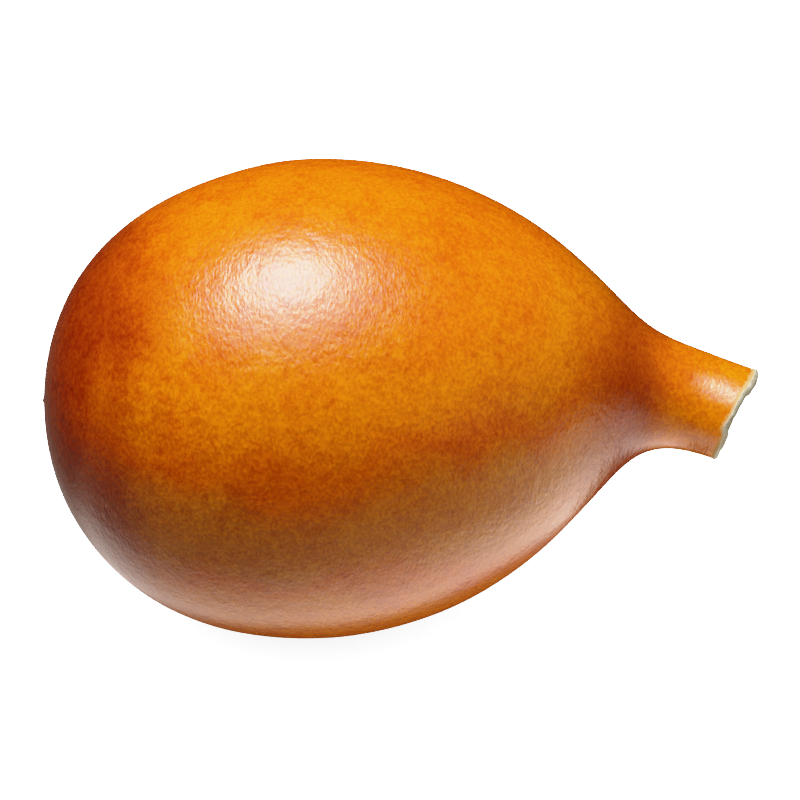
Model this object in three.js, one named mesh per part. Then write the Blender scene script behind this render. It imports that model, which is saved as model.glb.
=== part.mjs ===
import * as THREE from 'three';

// A dried bottle gourd, lying on its side: one woody shell, hollow, with its neck cut open.
// Millimetres. +X runs from the blossom end to the cut neck, +Y to the back, +Z up.
// The shell is a closed profile turned about a straight axis, then bent along its centre line.

// Driving dimensions of the outside
const BULB_RADIUS = 55.4;
const WIDEST_AT = 63.2;
const SHOULDER_AT = 120.0;
const SHOULDER_RADIUS = 33.0;
const NECK_RADIUS = 11.5;
const LENGTH = 161.0;

// Thickness of the woody wall
const BLOSSOM_WALL = 4.5;
const BULB_WALL = 3.0;
const NECK_WALL = 2.6;
const BLOSSOM_WALL_REACH = 45;
const NECK_WALL_FROM = 125;
const NECK_WALL_REACH = 15;

// The outline as three curves: [distance along the centre line, radius] of their control points
const BULB_OUTLINE = [[0, 0], [0, 34.7], [28.5, BULB_RADIUS], [WIDEST_AT, BULB_RADIUS]];
const FLANK_OUTLINE = [
  [WIDEST_AT, BULB_RADIUS], [82.7, BULB_RADIUS], [104.0, 47.5], [SHOULDER_AT, SHOULDER_RADIUS],
];
const NECK_OUTLINE = [
  [SHOULDER_AT, SHOULDER_RADIUS], [138.3, 16.4], [135.2, 11.3], [LENGTH, NECK_RADIUS],
];

// The centre line as two curves: [along, lift, turn] of their control points.
// Lift is measured in a plane that leans back from upright, turn is square to it, to the front.
const LEAN = THREE.MathUtils.degToRad(35);
const BULB_LINE = [[0, 0, 0], [30.7, 0, 0], [42.8, -1.0, 0], [59.5, 0.2, 0]];
const NECK_LINE = [[59.5, 0.2, 0], [141.3, 5.9, 0], [144.1, 1.6, 0.1], [160.2, -3.6, 1.7]];

// The cut end: a lip with a rounded outer edge, and how far it stands out round the opening.
// Angles run from the top of the lean plane towards the front.
const LIP_ROUND = 1.2;
const LIP_ROUND_STEPS = 3;
const BORE_ROUND = 0.4;
const LIP_WAVE_REACH = 8;
const LIP_WAVE = [
  [0, 1.4], [30, 1.7], [50, 1.2], [64, 0.2], [84, -0.3], [108, -1.25], [121, -0.7], [135, -0.9],
  [150, -1.35], [180, -1.45], [210, -1.6], [270, -0.9], [315, 0.5], [360, 1.4],
];

// The scar of the flower, a low round nib on the blossom end
const NIB_RADIUS = 2.2;
const NIB_HEIGHT = 0.5;
const NIB_RINGS = [0.9, 1.7];

// The flat spot that the gourd rests on, as the depth that is worn off the belly
const REST_DEPTH = 1.4;

// Fineness of the faceted surface
const SIDES = 64;
const BULB_STEPS = 15;
const FLANK_STEPS = 12;
const NECK_STEPS = 13;
const INNER_SHARE = 0.5;

// Finish
const SKIN_COLOUR = 0xc46a12;
const SKIN_ROUGHNESS = 0.35;

function planeCurve(points) {
  return new THREE.CubicBezierCurve(...points.map(([along, radius]) => new THREE.Vector2(along, radius)));
}

function spaceCurve(points) {
  return new THREE.CubicBezierCurve3(...points.map(leanPoint));
}

// The two directions square to the straight axis: up the lean plane, and to its front
const leanUp = new THREE.Vector3(0, Math.sin(LEAN), Math.cos(LEAN));
const leanFront = new THREE.Vector3(0, -Math.cos(LEAN), Math.sin(LEAN));

function leanPoint([along, lift, turn]) {
  return new THREE.Vector3(along, 0, 0).addScaledVector(leanUp, lift).addScaledVector(leanFront, turn);
}

function wallThickness(along) {
  const blossom = 1 - THREE.MathUtils.smoothstep(along, 0, BLOSSOM_WALL_REACH);
  const neck = THREE.MathUtils.smoothstep(along, NECK_WALL_FROM, NECK_WALL_FROM + NECK_WALL_REACH);
  return BULB_WALL + (BLOSSOM_WALL - BULB_WALL) * blossom + (NECK_WALL - BULB_WALL) * neck;
}

// Points of the outside from the blossom end to the start of the lip
function outerProfile() {
  const bulb = planeCurve(BULB_OUTLINE);
  const nibRings = NIB_RINGS.map((radius) => bulb.getPoint(radius / (3 * BULB_OUTLINE[1][1])));
  const pole = new THREE.Vector2(0, 0);
  const bulbPoints = bulb.getPoints(BULB_STEPS).slice(1);
  const flankPoints = planeCurve(FLANK_OUTLINE).getPoints(FLANK_STEPS).slice(1);
  const neckPoints = planeCurve(NECK_OUTLINE).getPoints(NECK_STEPS).slice(1, -1);
  return [pole, ...nibRings, ...bulbPoints, ...flankPoints, ...neckPoints];
}

// Points of the lip, from the skin round the outer edge to the bore
function lipProfile() {
  const points = [];
  for (let step = 0; step <= LIP_ROUND_STEPS; step += 1) {
    const angle = (Math.PI / 2) * (step / LIP_ROUND_STEPS);
    const along = LENGTH - LIP_ROUND * (1 - Math.sin(angle));
    points.push(new THREE.Vector2(along, NECK_RADIUS - LIP_ROUND * (1 - Math.cos(angle))));
  }
  points.push(new THREE.Vector2(LENGTH, NECK_RADIUS - NECK_WALL + BORE_ROUND));
  points.push(new THREE.Vector2(LENGTH - BORE_ROUND, NECK_RADIUS - NECK_WALL));
  return points;
}

// Points of the inside, from the bore back to the blossom end: the outline moved in by the wall
function innerProfile() {
  const points = [];
  const curves = [[NECK_OUTLINE, NECK_STEPS], [FLANK_OUTLINE, FLANK_STEPS], [BULB_OUTLINE, BULB_STEPS]];
  for (const [outline, outerSteps] of curves) {
    const curve = planeCurve(outline);
    const steps = Math.round(outerSteps * INNER_SHARE);
    for (let step = steps - 1; step >= 0; step -= 1) {
      const share = step / steps;
      const point = curve.getPoint(share);
      const tangent = curve.getTangent(share);
      const wall = wallThickness(point.x);
      points.push(new THREE.Vector2(point.x + tangent.y * wall, Math.max(point.y - tangent.x * wall, 0)));
    }
  }
  return points;
}

// How far the lip stands out at an angle round the opening, eased between the listed angles
function lipWave(degrees) {
  const next = LIP_WAVE.findIndex(([angle]) => angle >= degrees);
  if (next <= 0) {
    return LIP_WAVE[0][1];
  }
  const [startAngle, start] = LIP_WAVE[next - 1];
  const [endAngle, end] = LIP_WAVE[next];
  return start + (end - start) * THREE.MathUtils.smoothstep(degrees, startAngle, endAngle);
}

// How far the skin is pushed out along the axis by the nib
function nibOffset(along, radius) {
  const onBlossomEnd = along < BLOSSOM_WALL / 2 && radius < NIB_RADIUS;
  return onBlossomEnd ? NIB_HEIGHT * (1 - THREE.MathUtils.smoothstep(radius, 0, NIB_RADIUS)) : 0;
}

// Turns the straight profile into the bent shell
function bend(geometry) {
  const line = new THREE.CurvePath();
  line.add(spaceCurve(BULB_LINE));
  line.add(spaceCurve(NECK_LINE));
  const position = geometry.getAttribute('position');
  for (let index = 0; index < position.count; index += 1) {
    const across = position.getX(index);
    const along = position.getY(index);
    const front = position.getZ(index);
    const radius = Math.hypot(across, front);
    const angle = Math.atan2(front, across) + LEAN;
    const degrees = THREE.MathUtils.euclideanModulo(THREE.MathUtils.radToDeg(angle), 360);
    const waveShare = THREE.MathUtils.smoothstep(along, LENGTH - LIP_WAVE_REACH, LENGTH);
    const share = THREE.MathUtils.clamp(along / LENGTH, 0, 1);
    const centre = line.getPointAt(share);
    const tangent = line.getTangentAt(share);
    const up = leanUp.clone().addScaledVector(tangent, -leanUp.dot(tangent)).normalize();
    const toFront = new THREE.Vector3().crossVectors(tangent, up);
    const push = waveShare * lipWave(degrees) - nibOffset(along, radius);
    const place = centre
      .addScaledVector(tangent, push)
      .addScaledVector(up, radius * Math.cos(angle))
      .addScaledVector(toFront, radius * Math.sin(angle));
    position.setXYZ(index, place.x, place.y, place.z);
  }
}

// Wears the belly flat, and sets the origin on the floor under the middle of the gourd
function setDown(geometry) {
  geometry.computeBoundingBox();
  const floor = geometry.boundingBox.min.z + REST_DEPTH;
  const position = geometry.getAttribute('position');
  for (let index = 0; index < position.count; index += 1) {
    position.setZ(index, Math.max(position.getZ(index), floor));
  }
  geometry.computeBoundingBox();
  const box = geometry.boundingBox;
  geometry.translate(-(box.min.x + box.max.x) / 2, -(box.min.y + box.max.y) / 2, -floor);
}

function gourdShell() {
  // The profile runs from the inside to the outside, so that the bent surface faces out
  const profile = [...outerProfile(), ...lipProfile(), ...innerProfile()].reverse();
  const turned = profile.map((point) => new THREE.Vector2(point.y, point.x));
  const geometry = new THREE.LatheGeometry(turned, SIDES);
  bend(geometry);
  setDown(geometry);
  geometry.computeVertexNormals();
  const skin = new THREE.MeshStandardMaterial({
    color: SKIN_COLOUR, roughness: SKIN_ROUGHNESS, metalness: 0, flatShading: true,
  });
  const mesh = new THREE.Mesh(geometry, skin);
  mesh.name = 'gourd_shell';
  return mesh;
}

const gourd = new THREE.Group();
gourd.add(gourdShell());

export default gourd;
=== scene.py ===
"""A dried bottle gourd lying on a pale floor: its shell and finishes, the studio and the camera.

Sizes in the gourd's classes are millimetres and in the studio metres, as are the meshes. "Along" is the
distance down the gourd's centre line from the blossom end, before the neck is bent.
"""

import logging
import math
from dataclasses import dataclass, field
from enum import Enum, IntEnum
from functools import partial, reduce
from typing import Callable

import bpy
from mathutils import Color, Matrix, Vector


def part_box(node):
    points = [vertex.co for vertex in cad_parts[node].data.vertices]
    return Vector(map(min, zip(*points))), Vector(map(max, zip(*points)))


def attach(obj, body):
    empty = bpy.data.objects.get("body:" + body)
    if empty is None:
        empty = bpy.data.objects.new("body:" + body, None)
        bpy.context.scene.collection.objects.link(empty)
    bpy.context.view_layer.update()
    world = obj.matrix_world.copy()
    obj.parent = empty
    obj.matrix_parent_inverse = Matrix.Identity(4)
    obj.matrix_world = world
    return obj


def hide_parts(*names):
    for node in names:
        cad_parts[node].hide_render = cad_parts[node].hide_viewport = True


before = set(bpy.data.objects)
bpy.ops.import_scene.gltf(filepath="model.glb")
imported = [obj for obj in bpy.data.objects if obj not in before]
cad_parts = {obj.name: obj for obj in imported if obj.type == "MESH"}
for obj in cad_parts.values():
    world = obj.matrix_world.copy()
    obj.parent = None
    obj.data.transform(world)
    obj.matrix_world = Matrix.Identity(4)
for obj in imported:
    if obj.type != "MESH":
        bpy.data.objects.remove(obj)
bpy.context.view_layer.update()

MM = 0.001
QUARTER_TURN = 90
BODY = "root"
CAD_NODE = "gourd_shell"
GROWN = "grown"
Colour = tuple[float, float, float, float]
WHITE: Colour = (1.0, 1.0, 1.0, 1.0)
log = logging.getLogger("gourd")


def smoothstep(value: float, low: float, high: float) -> float:
    """Returns 0 below low, 1 above high, and an eased value between them."""
    share = min(max((value - low) / (high - low), 0.0), 1.0)
    return share * share * (3 - 2 * share)


def linear(red: int, green: int, blue: int) -> Colour:
    """Turns a screen colour, each part from 0 to 255, into the linear colour that a shader takes."""
    shown = Color((red / 255, green / 255, blue / 255))
    return (*shown.from_srgb_to_scene_linear(), 1.0)


@dataclass(frozen=True)
class Band:
    """A stretch over which a value eases from start, at low, to end, at high."""

    low: float
    high: float
    start: float = 0.0
    end: float = 1.0


@dataclass(frozen=True)
class Blobs:
    """Soft noise: the width of its blobs in millimetres, its finer layers, and how strong they are."""

    size: float
    detail: float
    rough: float


class Mix(Enum):
    """The ways in which a second colour goes over a first one."""

    COVER = "MIX"
    TINT = "MULTIPLY"


class Graph:
    """Adds nodes to a node tree and links them, left to right."""

    STEP = 220

    def __init__(self, tree: bpy.types.NodeTree) -> None:
        """Starts an empty graph in a tree.

        Args:
            tree: The node tree, which is cleared first.
        """
        self.tree = tree
        self.column = 0
        tree.nodes.clear()

    def add(self, kind: str, inputs: dict | None = None, **settings: object) -> bpy.types.Node:
        """Adds one node.

        Args:
            kind: The node's type, without the ShaderNode that it starts with, or in full for a group's ends.
            inputs: What goes into its sockets, by name or number: another node's socket, or a value.
            **settings: The node's own settings.

        Returns:
            The new node.
        """
        name = kind if kind.startswith("NodeGroup") else "ShaderNode" + kind
        node = self.tree.nodes.new(name)
        node.location = (self.column * self.STEP, 0)
        self.column += 1
        for setting, value in settings.items():
            setattr(node, setting, value)
        for socket, value in (inputs or {}).items():
            self.feed(node.inputs[socket], value)
        return node

    def feed(self, socket: bpy.types.NodeSocket, value: object) -> None:
        """Fills a socket.

        Args:
            socket: The node's input.
            value: Another node's output to link it to, or a plain value.
        """
        if isinstance(value, bpy.types.NodeSocket):
            self.tree.links.new(value, socket)
        else:
            socket.default_value = value

    def math(self, operation: str, first: object, second: object = 0.0) -> bpy.types.NodeSocket:
        """Adds a Math node and returns its output."""
        return self.add("Math", {0: first, 1: second}, operation=operation).outputs[0]

    def product(self, *factors: object) -> bpy.types.NodeSocket:
        """Multiplies all its values."""
        return reduce(partial(self.math, "MULTIPLY"), factors)

    def weigh(
        self, first: object, first_weight: float, second: object, second_weight: float,
    ) -> bpy.types.NodeSocket:
        """Adds two values, each times its weight."""
        return self.math("ADD", self.product(first, first_weight), self.product(second, second_weight))

    def scaled(self, vector: object, amounts: tuple[float, float, float]) -> bpy.types.NodeSocket:
        """Stretches a vector along its axes."""
        return self.add("VectorMath", {0: vector, 1: amounts}, operation="MULTIPLY").outputs[0]

    def parts(self, vector: object) -> tuple[bpy.types.NodeSocket, ...]:
        """Splits a vector into its x, y and z."""
        return tuple(self.add("SeparateXYZ", {0: vector}).outputs)

    def noise(self, vector: object, blobs: Blobs) -> bpy.types.NodeSocket:
        """Adds soft noise.

        Args:
            vector: The place that it is read at, in metres.
            blobs: The size and fineness of its blobs.

        Returns:
            The noise, which lies about 0.5.
        """
        scale = 1 / (blobs.size * MM)
        inputs = {"Vector": vector, "Scale": scale, "Detail": blobs.detail, "Roughness": blobs.rough}
        return self.add("TexNoise", inputs).outputs["Fac"]

    def ease(self, value: object, band: Band, unit: float = 1.0) -> bpy.types.NodeSocket:
        """Eases a value over a band.

        Args:
            value: What is eased.
            band: Where it is eased, and from what to what.
            unit: What the band's low and high are counted in, such as MM.

        Returns:
            The eased value.
        """
        span = {"Value": value, "From Min": band.low * unit, "From Max": band.high * unit}
        inputs = span | {"To Min": band.start, "To Max": band.end}
        return self.add("MapRange", inputs, interpolation_type="SMOOTHSTEP").outputs[0]

    def blend(
        self, share: object, first: object, second: object, mix: Mix = Mix.COVER,
    ) -> bpy.types.NodeSocket:
        """Mixes two colours.

        Args:
            share: How much of the second there is, from 0 to 1.
            first: The colour beneath.
            second: The colour that goes over it.
            mix: How it goes over it.

        Returns:
            The mixed colour.
        """
        node = self.add("Mix", data_type="RGBA", blend_type=mix.value)
        for number, value in ((0, share), (6, first), (7, second)):
            self.feed(node.inputs[number], value)
        return node.outputs[2]

    def choose(self, share: object, first: object, second: object) -> bpy.types.NodeSocket:
        """Mixes two shaders, the second by the share."""
        return self.add("MixShader", {0: share, 1: first, 2: second}).outputs[0]


def new_group(name: str, inputs: dict[str, str], outputs: dict[str, str]) -> Graph:
    """Makes a shader node group with its sockets.

    Args:
        name: The group's name.
        inputs: The kind of each input, by name: Vector, Color or Float.
        outputs: The kind of each output, in the same way.

    Returns:
        The graph of the new group.
    """
    tree = bpy.data.node_groups.new(name, "ShaderNodeTree")
    for way, sockets in (("INPUT", inputs), ("OUTPUT", outputs)):
        for socket, kind in sockets.items():
            tree.interface.new_socket(socket, in_out=way, socket_type="NodeSocket" + kind)
    return Graph(tree)


def new_material(name: str) -> tuple[bpy.types.Material, Graph]:
    """Makes an empty node material.

    Args:
        name: The material's name.

    Returns:
        The material and its graph.
    """
    material = bpy.data.materials.new(name)
    material.use_nodes = True
    return material, Graph(material.node_tree)


@dataclass(frozen=True)
class BezierArc:
    """One cubic curve of the outline, as [along, radius] of its four control points."""

    start: tuple[float, float]
    start_handle: tuple[float, float]
    end_handle: tuple[float, float]
    end: tuple[float, float]

    def point(self, share: float) -> tuple[float, float]:
        """Finds a point of the curve.

        Args:
            share: How far down the curve it is, from 0 to 1.

        Returns:
            Its [along, radius].
        """
        rest = 1 - share
        weights = (rest**3, 3 * rest * rest * share, 3 * rest * share * share, share**3)
        places = (self.start, self.start_handle, self.end_handle, self.end)
        return tuple(sum(weight * place[axis] for weight, place in zip(weights, places)) for axis in (0, 1))

    def direction(self, share: float, step: float = 1e-4) -> tuple[float, float]:
        """Finds the direction of the curve at a point, from the points just before and after.

        Args:
            share: How far down the curve it is, from 0 to 1.
            step: How far off those points are.

        Returns:
            The direction as [along, radius], with a length of 1.
        """
        ahead, behind = self.point(min(share + step, 1.0)), self.point(max(share - step, 0.0))
        along, radius = ahead[0] - behind[0], ahead[1] - behind[1]
        length = math.hypot(along, radius)
        return along / length, radius / length


class Face(IntEnum):
    """The three kinds of surface on the shell, in the order of its material slots."""

    SKIN = 0
    RIM = 1
    INSIDE = 2


class GrainGroup:
    """The node group for bare shell wood: fine pale fibres that run along the gourd."""

    NAME = "bare_wood"
    ALONG_THE_GRAIN = (0.22, 1.0, 1.0)
    FIBRE = Blobs(0.35, 4.0, 0.65)
    BLOTCH = Blobs(2.4, 2.0, 0.5)
    FIBRE_SHARE = 0.6
    CONTRAST = Band(0.36, 0.64)

    @classmethod
    def build(cls) -> bpy.types.NodeTree:
        """Builds the group, the first time that it is asked for.

        Returns:
            The group.
        """
        if cls.NAME in bpy.data.node_groups:
            return bpy.data.node_groups[cls.NAME]
        inputs = {"Vector": "Vector", "Pale": "Color", "Deep": "Color"}
        graph = new_group(cls.NAME, inputs, {"Color": "Color", "Height": "Float"})
        ends = graph.add("NodeGroupInput").outputs
        fibre = graph.noise(graph.scaled(ends["Vector"], cls.ALONG_THE_GRAIN), cls.FIBRE)
        blotch = graph.noise(ends["Vector"], cls.BLOTCH)
        both = graph.weigh(fibre, cls.FIBRE_SHARE, blotch, 1 - cls.FIBRE_SHARE)
        colour = graph.blend(graph.ease(both, cls.CONTRAST), ends["Deep"], ends["Pale"])
        graph.add("NodeGroupOutput", {"Color": colour, "Height": both})
        return graph.tree


class MottleGroup:
    """The node group for the skin's mottle: small bright cells, wider patches and the odd pale fleck."""

    NAME = "skin_mottle"
    CELL_SHAPE = (1.1, 0.95, 0.95)
    CELL = Blobs(0.85, 1.5, 0.6)
    BROAD_CELL = Blobs(5.0, 2.0, 0.6)
    CELL_SHARE = 0.8
    CELL_CONTRAST = Band(0.38, 0.63)
    PATCH = Blobs(2.2, 2.0, 0.6)
    BROAD_PATCH = Blobs(11.0, 1.0, 0.5)
    PATCH_SHARE = 0.6
    PATCH_CONTRAST = Band(0.4, 0.72)
    CLOUD = Blobs(24.0, 1.0, 0.5)
    CLOUD_CONTRAST = Band(0.3, 0.7)
    WRINKLE_SHAPE = (1.45, 0.85, 0.85)
    WRINKLE = Blobs(0.95, 1.6, 0.5)
    RIPPLE = Blobs(3.2, 1.0, 0.5)
    RIPPLE_WEIGHT = 1.3
    FLECK_SHAPE = (1.0, 0.45, 0.45)
    FLECK_SPACING = 9.0
    FLECK_CHANCE = Band(0.78, 0.8)
    FLECK_SIZE = Band(0.015, 0.035, 0.75, 0.0)

    @classmethod
    def build(cls) -> bpy.types.NodeTree:
        """Builds the group, the first time that it is asked for.

        Returns:
            The group.
        """
        if cls.NAME in bpy.data.node_groups:
            return bpy.data.node_groups[cls.NAME]
        outputs = dict.fromkeys(("Cells", "Patches", "Clouds", "Wrinkles", "Flecks"), "Float")
        graph = new_group(cls.NAME, {"Vector": "Vector"}, outputs)
        place = graph.add("NodeGroupInput").outputs["Vector"]
        cell = graph.noise(graph.scaled(place, cls.CELL_SHAPE), cls.CELL)
        broad_cell = graph.noise(place, cls.BROAD_CELL)
        cells = graph.weigh(cell, cls.CELL_SHARE, broad_cell, 1 - cls.CELL_SHARE)
        patch = graph.noise(place, cls.PATCH)
        broad_patch = graph.noise(place, cls.BROAD_PATCH)
        patches = graph.weigh(patch, cls.PATCH_SHARE, broad_patch, 1 - cls.PATCH_SHARE)
        wrinkle = graph.noise(graph.scaled(place, cls.WRINKLE_SHAPE), cls.WRINKLE)
        graph.add("NodeGroupOutput", {
            "Cells": graph.ease(cells, cls.CELL_CONTRAST),
            "Patches": graph.ease(patches, cls.PATCH_CONTRAST),
            "Clouds": graph.ease(graph.noise(place, cls.CLOUD), cls.CLOUD_CONTRAST),
            "Wrinkles": graph.weigh(wrinkle, 1.0, graph.noise(place, cls.RIPPLE), cls.RIPPLE_WEIGHT),
            "Flecks": cls.flecks(graph, place),
        })
        return graph.tree

    @classmethod
    def flecks(cls, graph: Graph, place: bpy.types.NodeSocket) -> bpy.types.NodeSocket:
        """Scatters long thin flecks, one in each of a few cells of a loose net.

        Args:
            graph: The group's graph.
            place: Where on the straight gourd it is.

        Returns:
            The mask of the flecks.
        """
        inputs = {"Vector": graph.scaled(place, cls.FLECK_SHAPE), "Scale": 1 / (cls.FLECK_SPACING * MM)}
        net = graph.add("TexVoronoi", inputs).outputs
        chance = graph.add("SeparateColor", {0: net["Color"]}).outputs[0]
        size = graph.ease(net["Distance"], cls.FLECK_SIZE)
        return graph.product(graph.ease(chance, cls.FLECK_CHANCE), size)


@dataclass(frozen=True)
class BareWoodFinish:
    """Bare shell wood: the cut rim, or the pith inside."""

    name: str
    pale: Colour
    deep: Colour
    roughness: float
    relief: float

    def build(self) -> bpy.types.Material:
        """Builds the material.

        Returns:
            The new material.
        """
        material, graph = new_material(self.name)
        inputs = {"Vector": graph.add("TexCoord").outputs["Object"], "Pale": self.pale, "Deep": self.deep}
        grain = graph.add("Group", inputs, node_tree=GrainGroup.build()).outputs
        bump = graph.add("Bump", {"Height": grain["Height"], "Distance": self.relief * MM}).outputs[0]
        inputs = {"Base Color": grain["Color"], "Roughness": self.roughness, "Normal": bump}
        graph.add("OutputMaterial", {"Surface": graph.add("BsdfPrincipled", inputs).outputs[0]})
        return material


@dataclass(frozen=True)
class SkinFinish:
    """The varnished amber skin: yellow on the upper bulb and at the neck, with painted shade in its colour:
    redder lower down, toned down to amber on the strongly lit top, and dark where the bulb meets the neck.
    The blossom end is redder and darker, partly its own colour and partly painted shade.

    The bands are places along the gourd or heights above the floor, as their notes say.
    """

    name: str = "amber_skin"
    yellow: Colour = (0.55, 0.150, 0.0022, 1.0)
    amber: Colour = (0.53, 0.120, 0.0020, 1.0)
    orange: Colour = (0.51, 0.112, 0.0020, 1.0)
    # painted shade: the red of the lower half, and in part of the blossom end
    red: Colour = (0.475, 0.150, 0.0090, 1.0)
    # painted shade: the umber of the crease at the neck, and of the blossom end, where it is partly the
    # skin's own colour
    umber: Colour = (0.24, 0.034, 0.0018, 1.0)
    glint: Colour = (1.26, 1.38, 1.45, 1.0)
    stain: Colour = (0.78, 0.60, 0.60, 1.0)
    scar: Colour = (0.17, 0.125, 0.08, 1.0)
    edge: Colour = (0.55, 0.30, 0.09, 1.0)
    fleck: Colour = (0.80, 0.46, 0.20, 1.0)
    varnish_roughness: float = 0.245
    bare_roughness: float = 0.7
    # How far the edges of the colours wander
    sway: float = 12.0
    # Along: the bulb, which holds the painted shade of the lower half; the red and umber of its blossom end,
    # partly its own colour and partly painted shade; and how strong the stains are
    bulb: Band = Band(125, 142, 1.0, 0.0)
    blossom_red_and_shade: Band = Band(0, 36, 0.8, 0.0)
    blossom_umber_and_shade: Band = Band(9, 36, 0.92, 0.0)
    stains: Band = Band(0, 60, 1.25, 0.8)
    # Heights: where the red of the lower half, painted shade, starts and stops, and the amber on top,
    # painted shade that tones down the strongly lit top
    lower_shade_from: Band = Band(26, 52)
    lower_shade_to: Band = Band(54, 84, 1.0, 0.0)
    top_shade: Band = Band(85, 100)
    # How the colours run into each other as the red grows
    to_orange: Band = Band(0.0, 0.5)
    to_red: Band = Band(0.4, 1.0)
    # The neck, along, and the height of its orange top
    neck: Band = Band(130, 145)
    neck_top: Band = Band(56, 66, 0.0, 0.9)
    # The painted shade where the bulb meets the neck, in the crease: its start and end along, and its depth
    # by height
    shade_ring_from: Band = Band(119, 136)
    shade_ring_to: Band = Band(138, 146, 1.0, 0.0)
    shade_ring_depth: Band = Band(60, 80, 0.76, 0.36)
    # Along: the depth of the wrinkles, and the slope that the neck flares with from its own start
    wrinkle_depth: Band = Band(125, 145, 0.12, 0.096)
    flare_start: float = 150.0
    flare_slope: Band = Band(142, 156, 0.0, 0.165)
    # The scar, in nib radii and then along, and the bare edge at the cut
    scar_spread: Band = Band(0.6, 1.1, 1.0, 0.0)
    scar_reach: Band = Band(10, 20, 1.0, 0.0)
    edge_width: float = 0.8
    edge_fade: float = 0.25
    raggedness: float = 0.5

    def build(self, shell: "GourdShell") -> bpy.types.Material:
        """Builds the material.

        Args:
            shell: The shell that it goes on, for where its parts are.

        Returns:
            The new material.
        """
        material, graph = new_material(self.name)
        grown = graph.add("Attribute", attribute_name=GROWN).outputs["Vector"]
        along = graph.parts(grown)[0]
        mottle = graph.add("Group", {"Vector": grown}, node_tree=MottleGroup.build()).outputs
        colour = self.zones(graph, along, mottle["Clouds"])
        colour = graph.blend(mottle["Cells"], colour, self.glint, Mix.TINT)
        stained = graph.product(mottle["Patches"], graph.ease(along, self.stains, MM))
        colour = graph.blend(stained, colour, self.stain, Mix.TINT)
        colour = graph.blend(mottle["Flecks"], colour, self.fleck)
        scar, edge = self.bare_ends(graph, grown, mottle["Cells"], shell)
        colour = graph.blend(scar, colour, self.scar)
        colour = graph.blend(edge, colour, self.edge)
        dull = Band(0.0, 1.0, self.varnish_roughness, self.bare_roughness)
        shader = graph.add("BsdfPrincipled", {
            "Base Color": colour,
            "Roughness": graph.ease(graph.math("MAXIMUM", scar, edge), dull),
            "Normal": self.relief(graph, along, mottle["Wrinkles"]),
        })
        graph.add("OutputMaterial", {"Surface": shader.outputs[0]})
        return material

    def zones(
        self, graph: Graph, along: bpy.types.NodeSocket, clouds: bpy.types.NodeSocket,
    ) -> bpy.types.NodeSocket:
        """Mixes the skin's broad colours by height and by place along the gourd, with painted shade lower
        down, on the top, in the crease at the neck and, in part, at the blossom end.

        Args:
            graph: The material's graph.
            along: The place along the gourd.
            clouds: Soft clouds that make the colours' edges wander.

        Returns:
            The colour.
        """
        sway = graph.product(graph.math("SUBTRACT", clouds, 0.5), self.sway * MM)
        height = graph.math("ADD", graph.parts(graph.add("TexCoord").outputs["Object"])[2], sway)
        end = graph.math("ADD", along, sway)
        # Painted shade: the lower half of the bulb turns red, standing in for the shade there.
        low = graph.product(
            graph.ease(height, self.lower_shade_to, MM), graph.ease(height, self.lower_shade_from, MM),
            graph.ease(along, self.bulb, MM),
        )
        shade_redness = graph.math("MAXIMUM", low, graph.ease(end, self.blossom_red_and_shade, MM))
        # Painted shade: the strongly lit top is toned down from yellow to amber.
        colour = graph.blend(graph.ease(height, self.top_shade, MM), self.yellow, self.amber)
        colour = graph.blend(graph.ease(shade_redness, self.to_orange), colour, self.orange)
        colour = graph.blend(graph.ease(shade_redness, self.to_red), colour, self.red)
        # The blossom end turns umber: partly the skin's own colour, partly painted shade.
        colour = graph.blend(graph.ease(end, self.blossom_umber_and_shade, MM), colour, self.umber)
        neck_top = graph.product(graph.ease(along, self.neck, MM), graph.ease(height, self.neck_top, MM))
        colour = graph.blend(neck_top, colour, self.orange)
        # Painted shade: umber in the crease where the bulb meets the neck, deepest lower down.
        shade_ring = graph.product(
            graph.ease(along, self.shade_ring_from, MM), graph.ease(along, self.shade_ring_to, MM),
            graph.ease(height, self.shade_ring_depth, MM),
        )
        return graph.blend(shade_ring, colour, self.umber)

    def relief(
        self, graph: Graph, along: bpy.types.NodeSocket, wrinkles: bpy.types.NodeSocket,
    ) -> bpy.types.NodeSocket:
        """Raises the fine wrinkles of the skin, and tilts the end of the neck outwards as a flare does.

        Args:
            graph: The material's graph.
            along: The place along the gourd.
            wrinkles: The pattern of the wrinkles.

        Returns:
            The surface normal.
        """
        raised = graph.product(wrinkles, graph.ease(along, self.wrinkle_depth, MM), MM)
        beyond = graph.math("SUBTRACT", along, self.flare_start * MM)
        flare = graph.product(beyond, graph.ease(along, self.flare_slope, MM))
        return graph.add("Bump", {"Height": graph.math("ADD", raised, flare), "Distance": 1.0}).outputs[0]

    def bare_ends(
        self, graph: Graph, grown: bpy.types.NodeSocket, cells: bpy.types.NodeSocket, shell: "GourdShell",
    ) -> tuple[bpy.types.NodeSocket, bpy.types.NodeSocket]:
        """Masks the two places with no varnish, whose edges are ragged.

        Args:
            graph: The material's graph.
            grown: The place on the straight gourd.
            cells: The fine mottle, which makes the edges ragged.
            shell: The shell, for where its ends are.

        Returns:
            The mask of the scar on the blossom end, and that of the edge at the cut.
        """
        along, across, lift = graph.parts(grown)
        ragged = graph.product(graph.math("SUBTRACT", cells, 0.5), self.raggedness * MM)
        off_axis = graph.add("CombineXYZ", {"Y": across, "Z": lift}).outputs[0]
        radius = graph.add("VectorMath", {0: off_axis}, operation="LENGTH").outputs["Value"]
        spread = graph.ease(graph.math("ADD", radius, ragged), self.scar_spread, shell.nib_radius * MM)
        scar = graph.product(spread, graph.ease(along, self.scar_reach, MM))
        start = shell.length - shell.lip_round - self.edge_width
        edge = graph.ease(graph.math("ADD", along, ragged), Band(start, start + self.edge_fade), MM)
        return scar, edge


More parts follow.
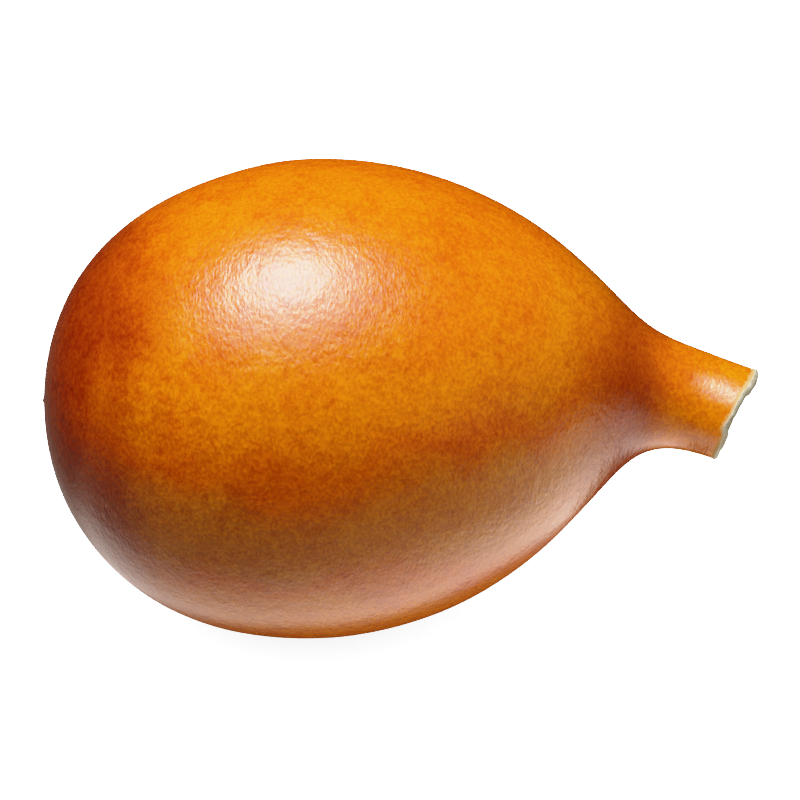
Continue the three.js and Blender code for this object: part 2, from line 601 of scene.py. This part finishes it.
@dataclass
class GourdShell:
    """The gourd's one woody shell: an egg-shaped bulb that draws in to a short bent neck, cut open.

    Attributes:
        blossom_handle: How blunt the blossom end is: the radius of its curve's handle.
        widest_handles: The places along of the handles before and after the widest place.
        flank_handle: The handle before the shoulder, as [along, radius].
        neck_handles: The two handles of the neck's curve, in the same way.
        lip_wave: How far the lip stands out at angles in degrees, from the top round by the front.
        centre_line: The bend's control points, each with the handles before and after it, as
            [along, lift, turn] in a plane that leans back by the lean, in degrees.
        outline_steps: How many steps each curve of the outline is drawn in.
        pole_crowding: How much closer those steps lie at the blossom end.
        inner_share: How many steps the inside has for each one outside.
        lip_turn: The angle between the points of the lip's round edge, in degrees.
        bore_turn: The same for the edge of the bore.
        hollows: The hollows in the skin, as a name, a width and a depth.
        crease: The angle in degrees past which an edge is sharp.
    """

    bulb_radius: float = 55.4
    widest_at: float = 63.2
    shoulder_at: float = 120.0
    shoulder_radius: float = 33.0
    neck_radius: float = 11.5
    length: float = 161.0
    blossom_handle: float = 34.7
    widest_handles: tuple[float, float] = (28.5, 82.7)
    flank_handle: tuple[float, float] = (104.0, 47.5)
    neck_handles: tuple[tuple[float, float], ...] = ((138.3, 16.4), (135.2, 11.3))
    blossom_wall: float = 4.5
    bulb_wall: float = 3.0
    neck_wall: float = 2.6
    blossom_wall_reach: float = 45.0
    neck_wall_from: float = 125.0
    neck_wall_reach: float = 15.0
    lip_round: float = 1.2
    bore_round: float = 0.4
    lip_wave_reach: float = 8.0
    lip_wave: tuple[tuple[float, float], ...] = (
        (0, 1.4), (30, 1.7), (50, 1.2), (64, 0.2), (84, -0.3), (108, -1.25), (121, -0.7), (135, -0.9),
        (150, -1.35), (180, -1.45), (210, -1.6), (270, -0.9), (315, 0.5), (360, 1.4),
    )
    nib_radius: float = 2.2
    nib_height: float = 0.5
    lean: float = 35.0
    centre_line: tuple[tuple[tuple[float, float, float], ...], ...] = (
        ((0, 0, 0), (0, 0, 0), (30.7, 0, 0)),
        ((42.8, -1.0, 0), (59.5, 0.2, 0), (141.3, 5.9, 0)),
        ((144.1, 1.6, 0.1), (160.2, -3.6, 1.7), (160.2, -3.6, 1.7)),
    )
    sides: int = 192
    outline_steps: tuple[int, int, int] = (60, 34, 44)
    pole_crowding: float = 1.4
    inner_share: float = 0.5
    lip_turn: int = 15
    bore_turn: int = 30
    bend_steps: int = 64
    weld_gap: float = 0.001
    hollows: tuple[tuple[str, float, float], ...] = (("swell", 42.0, 0.35), ("dint", 13.0, 0.06))
    crease: float = 40.0
    piece: bpy.types.Object = field(init=False, default=None)

    def outline(self) -> tuple[BezierArc, BezierArc, BezierArc]:
        """Draws the curves of the outside.

        Returns:
            The bulb's blossom half, its flank, and the neck.
        """
        widest = (self.widest_at, self.bulb_radius)
        shoulder = (self.shoulder_at, self.shoulder_radius)
        before, after = ((place, self.bulb_radius) for place in self.widest_handles)
        bulb = BezierArc((0, 0), (0, self.blossom_handle), before, widest)
        flank = BezierArc(widest, after, self.flank_handle, shoulder)
        neck = BezierArc(shoulder, *self.neck_handles, (self.length, self.neck_radius))
        return bulb, flank, neck

    def wall(self, along: float) -> float:
        """Finds the wall's thickness.

        Args:
            along: The place along the shell.

        Returns:
            The thickness there.
        """
        blossom = 1 - smoothstep(along, 0, self.blossom_wall_reach)
        neck = smoothstep(along, self.neck_wall_from, self.neck_wall_from + self.neck_wall_reach)
        at_ends = (self.blossom_wall - self.bulb_wall) * blossom + (self.neck_wall - self.bulb_wall) * neck
        return self.bulb_wall + at_ends

    def profile(self) -> list[tuple[float, float]]:
        """Draws the wall's section.

        Returns:
            Its [along, radius] from the blossom end out, round the lip and back inside.
        """
        outside, inside = [], []
        for index, (arc, steps) in enumerate(zip(self.outline(), self.outline_steps)):
            power = self.pole_crowding if index == 0 else 1.0
            outside += [arc.point((step / steps) ** power) for step in range(steps)]
            inner_steps = round(steps * self.inner_share)
            for step in range(inner_steps):
                share = step / inner_steps
                along, radius = arc.point(share)
                ahead, out = arc.direction(share)
                wall = self.wall(along)
                inside.append((along + out * wall, max(radius - ahead * wall, 0.0)))
        return outside + self.lip() + inside[::-1]

    def lip(self) -> list[tuple[float, float]]:
        """Draws the cut lip, rounded at the skin and at the bore.

        Returns:
            Its [along, radius] from the skin to the bore.
        """
        points = []
        for turn in range(0, QUARTER_TURN + 1, self.lip_turn):
            angle = math.radians(turn)
            along = self.length - self.lip_round * (1 - math.sin(angle))
            points.append((along, self.neck_radius - self.lip_round * (1 - math.cos(angle))))
        bore = self.neck_radius - self.neck_wall
        for turn in range(0, QUARTER_TURN + 1, self.bore_turn):
            angle = math.radians(turn)
            along = self.length - self.bore_round * (1 - math.cos(angle))
            points.append((along, bore + self.bore_round * (1 - math.sin(angle))))
        return points

    def build(self) -> bpy.types.Object:
        """Builds the shell's mesh, finished and in its place.

        Returns:
            The shell's object.
        """
        self.draw_profile()
        self.spin()
        self.sort_faces()
        self.remember_straight()
        self.shape_ends()
        self.bend()
        self.set_in_place()
        self.undulate()
        self.wear_belly_flat()
        bpy.ops.object.shade_smooth_by_angle(angle=math.radians(self.crease))
        return self.piece

    def draw_profile(self) -> None:
        """Draws the wall's section as a line of edges, by extruding one vertex from point to point."""
        bpy.ops.object.select_all(action="DESELECT")
        bpy.ops.mesh.primitive_circle_add(vertices=3, radius=MM)
        self.piece = bpy.context.active_object
        self.piece.name = "gourd_skin_shell"
        self.piece.data.name = self.piece.name
        self.pick(lambda place: False)
        self.piece.data.vertices[1].select = True
        self.piece.data.vertices[2].select = True
        bpy.ops.object.mode_set(mode="EDIT")
        bpy.ops.mesh.delete(type="VERT")
        bpy.ops.mesh.select_all(action="SELECT")
        bpy.ops.object.mode_set(mode="OBJECT")
        last = self.piece.data.vertices[0].co.copy()
        bpy.ops.object.mode_set(mode="EDIT")
        for index, (along, radius) in enumerate(self.profile()):
            place = Vector((along, 0, radius)) * MM
            if index == 0:
                bpy.ops.transform.translate(value=place - last)
            else:
                bpy.ops.mesh.extrude_region_move(TRANSFORM_OT_translate={"value": place - last})
            last = place
        bpy.ops.object.mode_set(mode="OBJECT")

    def spin(self) -> None:
        """Turns the section about the axis, and closes the poles."""
        bpy.ops.object.mode_set(mode="EDIT")
        bpy.ops.mesh.select_all(action="SELECT")
        bpy.ops.mesh.spin(steps=self.sides, angle=math.tau, center=(0, 0, 0), axis=(1, 0, 0))
        bpy.ops.mesh.select_all(action="SELECT")
        bpy.ops.mesh.remove_doubles(threshold=self.weld_gap * MM)
        bpy.ops.mesh.normals_make_consistent(inside=False)
        bpy.ops.object.mode_set(mode="OBJECT")

    def pick(self, wanted: Callable[[Vector], bool]) -> None:
        """Selects vertices of the shell, and nothing else.

        Args:
            wanted: The test of a vertex's place.
        """
        mesh = self.piece.data
        mesh.polygons.foreach_set("select", [False] * len(mesh.polygons))
        mesh.edges.foreach_set("select", [False] * len(mesh.edges))
        mesh.vertices.foreach_set("select", [wanted(vertex.co) for vertex in mesh.vertices])

    def sort_faces(self) -> None:
        """Gives each face its kind of surface, while the shell is still straight."""
        middle = Vector((self.widest_at * MM, 0, 0))
        cut = (self.length - self.lip_round) * MM
        for face in self.piece.data.polygons:
            faces_out = (face.center - middle).dot(face.normal) > 0
            if faces_out and face.center.x > cut:
                face.material_index = Face.RIM
            else:
                face.material_index = Face.SKIN if faces_out else Face.INSIDE

    def remember_straight(self) -> None:
        """Stores each vertex's straight place, so that the skin's pattern follows the bend."""
        mesh = self.piece.data
        places = [part for vertex in mesh.vertices for part in vertex.co]
        mesh.attributes.new(GROWN, "FLOAT_VECTOR", "POINT").data.foreach_set("vector", places)

    def wave(self, degrees: float) -> float:
        """Finds how far the lip stands out.

        Args:
            degrees: The angle round the opening.

        Returns:
            How far it stands out there, in millimetres.
        """
        for (start, low), (end, high) in zip(self.lip_wave, self.lip_wave[1:]):
            if start <= degrees <= end:
                return low + (high - low) * smoothstep(degrees, start, end)
        return self.lip_wave[0][1]

    def lean_axes(self) -> tuple[Vector, Vector]:
        """Finds the directions of the leaning plane that the neck bends in.

        Returns:
            The direction up the plane, and the one square to it, to the front.
        """
        lean = math.radians(self.lean)
        return Vector((0, math.sin(lean), math.cos(lean))), Vector((0, -math.cos(lean), math.sin(lean)))

    def shape_ends(self) -> None:
        """Makes the cut lip uneven, and raises the flower's scar on the blossom end."""
        up, front = self.lean_axes()
        for vertex in self.piece.data.vertices:
            along = vertex.co.x / MM
            radius = math.hypot(vertex.co.y, vertex.co.z) / MM
            degrees = math.degrees(math.atan2(vertex.co.dot(front), vertex.co.dot(up))) % 360
            share = smoothstep(along, self.length - self.lip_wave_reach, self.length)
            if share:
                vertex.co.x += share * self.wave(degrees) * MM
            if radius < self.nib_radius and along < self.blossom_wall / 2:
                vertex.co.x -= self.nib_height * MM * (1 - smoothstep(radius, 0, self.nib_radius))

    def bend(self) -> None:
        """Bends the straight shell along its centre line with a Curve modifier."""
        bpy.ops.object.select_all(action="DESELECT")
        bpy.ops.curve.primitive_bezier_curve_add()
        guide = bpy.context.active_object
        guide.name = "centre_line"
        guide.data.resolution_u = self.bend_steps
        guide.data.twist_mode = "Z_UP"
        points = guide.data.splines[0].bezier_points
        points.add(len(self.centre_line) - len(points))
        for point, (before, at, after) in zip(points, self.centre_line):
            point.handle_left_type = point.handle_right_type = "FREE"
            point.handle_left = self.lean_point(before)
            point.co = self.lean_point(at)
            point.handle_right = self.lean_point(after)
        bender = self.piece.modifiers.new("bend", "CURVE")
        bender.object = guide
        bender.deform_axis = "POS_X"
        self.apply(bender)
        curve = guide.data
        bpy.data.objects.remove(guide)
        bpy.data.curves.remove(curve)

    def lean_point(self, place: tuple[float, float, float]) -> Vector:
        """Finds a point of the centre line.

        Args:
            place: Its [along, lift, turn] in the leaning plane.

        Returns:
            The point, in metres.
        """
        along, lift, turn = place
        up, front = self.lean_axes()
        return (Vector((along, 0, 0)) + up * lift + front * turn) * MM

    def apply(self, modifier: bpy.types.Modifier) -> None:
        """Applies a modifier of the shell.

        Args:
            modifier: The modifier.
        """
        bpy.ops.object.select_all(action="DESELECT")
        self.piece.select_set(True)
        bpy.context.view_layer.objects.active = self.piece
        bpy.ops.object.modifier_apply(modifier=modifier.name)

    def set_in_place(self) -> None:
        """Moves the shell to where the frame has it: its blossom end, its middle and its top."""
        low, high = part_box(CAD_NODE)
        places = [vertex.co for vertex in self.piece.data.vertices]
        left = min(place.x for place in places)
        front, back = min(place.y for place in places), max(place.y for place in places)
        top = max(place.z for place in places)
        shift = Vector((low.x - left, (low.y + high.y - front - back) / 2, high.z - top))
        bpy.ops.object.mode_set(mode="EDIT")
        bpy.ops.mesh.select_all(action="SELECT")
        bpy.ops.transform.translate(value=shift)
        bpy.ops.object.mode_set(mode="OBJECT")

    def undulate(self) -> None:
        """Presses shallow hollows into the skin, as no grown thing is truly round."""
        outside = self.piece.vertex_groups.new(name="outside")
        skin_faces = [face for face in self.piece.data.polygons if face.material_index == Face.SKIN]
        skin = {index for face in skin_faces for index in face.vertices}
        outside.add(sorted(skin), 1.0, "REPLACE")
        for name, size, depth in self.hollows:
            clouds = bpy.data.textures.new(name, "CLOUDS")
            clouds.noise_scale = size * MM
            clouds.noise_depth = 1
            hollow = self.piece.modifiers.new(name, "DISPLACE")
            hollow.texture = clouds
            hollow.texture_coords = "LOCAL"
            hollow.vertex_group = outside.name
            hollow.mid_level = 0.0
            hollow.strength = -depth * MM
            self.apply(hollow)
        self.piece.vertex_groups.clear()

    def wear_belly_flat(self) -> None:
        """Flattens what hangs below the floor into the small flat spot that the gourd rests on."""
        self.pick(lambda place: place.z < 0)
        bpy.ops.object.mode_set(mode="EDIT")
        bpy.ops.transform.resize(value=(1, 1, 0), center_override=(0, 0, 0))
        bpy.ops.object.mode_set(mode="OBJECT")

    def dress(self) -> None:
        """Gives the shell its finishes, and ties it to the frame."""
        rim = BareWoodFinish(
            "cut_rim", pale=linear(192, 190, 162), deep=linear(160, 150, 118), roughness=0.7, relief=0.08,
        )
        pith = BareWoodFinish(
            "inner_pith", pale=linear(196, 164, 112), deep=linear(142, 104, 62), roughness=0.9, relief=0.25,
        )
        for material in (SkinFinish().build(self), rim.build(), pith.build()):
            self.piece.data.materials.append(material)
        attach(self.piece, BODY)
        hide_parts(CAD_NODE)


@dataclass(frozen=True)
class Lamp:
    """One soft oval lamp: its width and depth, how far it is set to the back, and its power in watts."""

    width: float
    depth: float
    back: float
    power: float


@dataclass
class Studio:
    """A plain pale floor, soft lights and the camera. Its sizes are metres.

    Attributes:
        pool: How bright the floor looks in the varnish, at distances from the pool's middle; the dark middle
            is a painted shadow of the gourd.
        pool_middle: The place of that middle along the gourd.
        pool_stretch: How the distance counts to the left and to the right of it.
        bounce_share: How much of the pool's light falls on the gourd, next to what the varnish shows.
        pool_sides: How the pool's light changes from left to right.
        behind: Where the floor behind the gourd gives less light, from front to back.
        behind_share: How much less, from left to right.
        shade_reach: How far from the gourd the floor is still shaded by it.
        glow_right: With the next two, where the varnish shows a low glow, by direction.
        fill_right: With the next two, how the dim light on the gourd changes by direction.
        key_place: The middle of the lamps.
        lamp_drop: How much lower each lamp hangs than the last.
        white: The brightness that the camera sees round the gourd.
        tone: The shown brightness of each amount of light.
    """

    floor_size: float = 4.0
    pool_colour: Colour = (1.0, 0.88, 0.81, 1.0)
    pool_strength: float = 2.7
    bounce_share: float = 0.62
    # the pool's dark middle is a painted shadow under the gourd
    pool: tuple[tuple[float, float], ...] = (
        (0.0, 0.0), (0.032, 0.02), (0.039, 0.14), (0.046, 1.0), (0.068, 0.97), (0.091, 0.52),
        (0.126, 0.35), (0.19, 0.18), (0.3, 0.07), (0.45, 0.0),
    )
    pool_middle: float = -0.016
    pool_stretch: tuple[float, float] = (0.83, 0.6)
    pool_sides: tuple[Band, ...] = (
        Band(-0.08, 0.03, 0.5, 1.0), Band(0.01, 0.06, 1.0, 1.15), Band(0.08, 0.2, 1.0, 2.0),
    )
    behind: Band = Band(-0.008, 0.011)
    behind_share: Band = Band(-0.08, -0.03, 0.6, 0.98)
    shade_reach: float = 0.08
    shade_samples: int = 8
    side_glow: float = 0.32
    glow_right: Band = Band(0.4, 0.8)
    glow_low: Band = Band(0.1, 0.4, 1.0, 0.0)
    glow_front: Band = Band(-0.45, -0.1, 1.0, 0.0)
    darkest: float = 0.01
    fill_right: Band = Band(0.1, 0.9, 0.12, 0.55)
    fill_back: Band = Band(0.1, 0.9, 0.0, 0.3)
    fill_low: Band = Band(0.1, 0.5, 1.0, 0.0)
    key_place: tuple[float, float, float] = (-0.15, 0.01, 0.79)
    lamp_colour: tuple[float, float, float] = (1.0, 0.965, 1.06)
    lamps: tuple[Lamp, ...] = (
        Lamp(0.86, 0.86, -0.09, 5.8), Lamp(0.52, 0.54, -0.02, 4.0), Lamp(0.34, 0.33, 0.0, 3.0),
    )
    lamp_drop: float = 0.01
    white: float = 11.0
    tone: tuple[tuple[float, float], ...] = (
        (0.0, 0.0), (0.02, 0.008), (0.08, 0.06), (0.16, 0.15), (0.3, 0.3), (0.5, 0.49), (0.7, 0.67),
        (0.9, 0.78), (1.1, 0.84), (1.5, 0.90), (2.0, 0.94), (3.0, 1.0),
    )
    camera_target: tuple[float, float, float] = (-0.00001, -0.0003, 0.05375)
    camera_elevation: float = 35.0
    camera_distance: float = 0.9
    view_width: float = 0.1844

    def build(self) -> None:
        """Builds the floor, the lights and the camera."""
        self.lay_floor()
        self.hang_lights()
        self.fill_world()
        self.set_tone()
        self.set_camera()

    def lay_floor(self) -> None:
        """Lays the floor that the gourd rests on."""
        bpy.ops.object.select_all(action="DESELECT")
        bpy.ops.mesh.primitive_plane_add(size=self.floor_size)
        floor = bpy.context.active_object
        floor.name = "floor"
        floor.data.materials.append(self.floor_finish())

    def floor_finish(self) -> bpy.types.Material:
        """Builds the floor's finish: white to the camera, and a soft pool of light to the gourd.

        Returns:
            The new material.
        """
        material, graph = new_material("pale_floor")
        x, y, _ = graph.parts(graph.add("TexCoord").outputs["Object"])
        ramp = self.pool_ramp(graph, x, y)
        path = graph.add("LightPath").outputs
        side = graph.product(*(graph.ease(x, band) for band in self.pool_sides))
        hidden = graph.product(graph.ease(y, self.behind), graph.ease(x, self.behind_share))
        shine = Band(0.0, 1.0, self.bounce_share * self.pool_strength, self.pool_strength)
        seen = graph.ease(path["Is Glossy Ray"], shine)
        strength = graph.product(side, graph.math("SUBTRACT", 1.0, hidden), seen)
        pool = graph.blend(1.0, ramp, self.pool_colour, Mix.TINT)
        glow = graph.add("Emission", {"Color": pool, "Strength": strength}).outputs[0]
        shade = graph.add("AmbientOcclusion", {"Distance": self.shade_reach}, samples=self.shade_samples)
        bright = graph.product(self.white, shade.outputs["AO"])
        white = graph.add("Emission", {"Color": WHITE, "Strength": bright}).outputs[0]
        graph.add("OutputMaterial", {"Surface": graph.choose(path["Is Camera Ray"], glow, white)})
        return material

    def pool_ramp(
        self, graph: Graph, x: bpy.types.NodeSocket, y: bpy.types.NodeSocket,
    ) -> bpy.types.NodeSocket:
        """Shades the pool of light on the floor by the distance from its middle, dark at the middle as a
        painted shadow under the gourd.

        Args:
            graph: The floor's graph.
            x: The place on the floor from left to right.
            y: The place on the floor from front to back.

        Returns:
            The pool's brightness, as a grey.
        """
        offset = graph.math("SUBTRACT", x, self.pool_middle)
        left = graph.product(graph.math("MINIMUM", offset, 0.0), self.pool_stretch[0])
        right = graph.product(graph.math("MAXIMUM", offset, 0.0), self.pool_stretch[1])
        sideways = graph.math("ADD", left, right)
        squares = graph.math("ADD", graph.math("POWER", sideways, 2.0), graph.math("POWER", y, 2.0))
        reach = self.pool[-1][0]
        share = graph.math("DIVIDE", graph.math("SQRT", squares), reach)
        ramp = graph.add("ValToRGB", {"Fac": share})
        while len(ramp.color_ramp.elements) < len(self.pool):
            ramp.color_ramp.elements.new(1.0)
        for element, (distance, value) in zip(ramp.color_ramp.elements, self.pool):
            element.position = distance / reach
            element.color = (value, value, value, 1.0)
        return ramp.outputs[0]

    def hang_lights(self) -> None:
        """Hangs the soft light over the bulb: three oval lamps, each smaller and lower than the last."""
        for number, lamp in enumerate(self.lamps):
            place = Vector(self.key_place) + Vector((0, lamp.back, -self.lamp_drop * number))
            bpy.ops.object.light_add(type="AREA", location=place)
            light = bpy.context.active_object
            light.name = f"lamp_{number + 1}"
            light.data.color = self.lamp_colour
            light.data.shape = "ELLIPSE"
            light.data.size = lamp.width
            light.data.size_y = lamp.depth
            light.data.energy = lamp.power

    def fill_world(self) -> None:
        """Fills the surroundings.

        The camera sees them white. The varnish shows them dark, but for a low glow at the front right.
        They light the skin dimly, and more from the right and from low down at the back.
        """
        world = bpy.data.worlds.new("studio")
        bpy.context.scene.world = world
        world.use_nodes = True
        graph = Graph(world.node_tree)
        path = graph.add("LightPath").outputs
        x, y, z = graph.parts(graph.add("TexCoord").outputs["Generated"])
        level = graph.product(
            graph.ease(x, self.glow_right), graph.ease(z, self.glow_low), graph.ease(y, self.glow_front),
        )
        glow = graph.math("ADD", graph.product(level, self.side_glow), self.darkest)
        back = graph.product(graph.ease(y, self.fill_back), graph.ease(z, self.fill_low))
        fill = graph.math("ADD", graph.ease(x, self.fill_right), back)
        dark, dim, white = (
            graph.add("Background", {"Color": WHITE, "Strength": strength}).outputs[0]
            for strength in (glow, fill, self.white)
        )
        seen = graph.choose(path["Is Camera Ray"], dim, white)
        graph.add("OutputWorld", {"Surface": graph.choose(path["Is Glossy Ray"], seen, dark)})

    def set_tone(self) -> None:
        """Sets how light is shown: true to scale in the darks, and eased off towards white."""
        view = bpy.context.scene.view_settings
        view.view_transform = "Standard"
        view.look = "None"
        view.use_curve_mapping = True
        reach = self.tone[-1][0]
        mapping = view.curve_mapping
        mapping.white_level = (reach, reach, reach)
        curve = mapping.curves[3]
        for light, shown in self.tone[1:-1]:
            curve.points.new(light / reach, shown)
        mapping.update()

    def set_camera(self) -> None:
        """Sets the camera in front of the gourd, looking down on it."""
        tilt = math.radians(self.camera_elevation)
        back = Vector((0, -math.cos(tilt), math.sin(tilt))) * self.camera_distance
        place = Vector(self.camera_target) + back
        bpy.ops.object.camera_add(location=place, rotation=(math.pi / 2 - tilt, 0, 0))
        camera = bpy.context.active_object
        camera.name = "camera"
        camera.data.lens = camera.data.sensor_width * self.camera_distance / self.view_width
        bpy.context.scene.camera = camera


def main() -> None:
    """Builds the gourd and its studio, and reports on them."""
    logging.basicConfig(level=logging.INFO, format="%(name)s: %(message)s")
    shell = GourdShell()
    piece = shell.build()
    shell.dress()
    log.info("%s: %d faces", piece.name, len(piece.data.polygons))
    studio = Studio()
    studio.build()
    log.info("studio: a floor and %d lamps", len(studio.lamps))


if __name__ == "__main__":
    main()
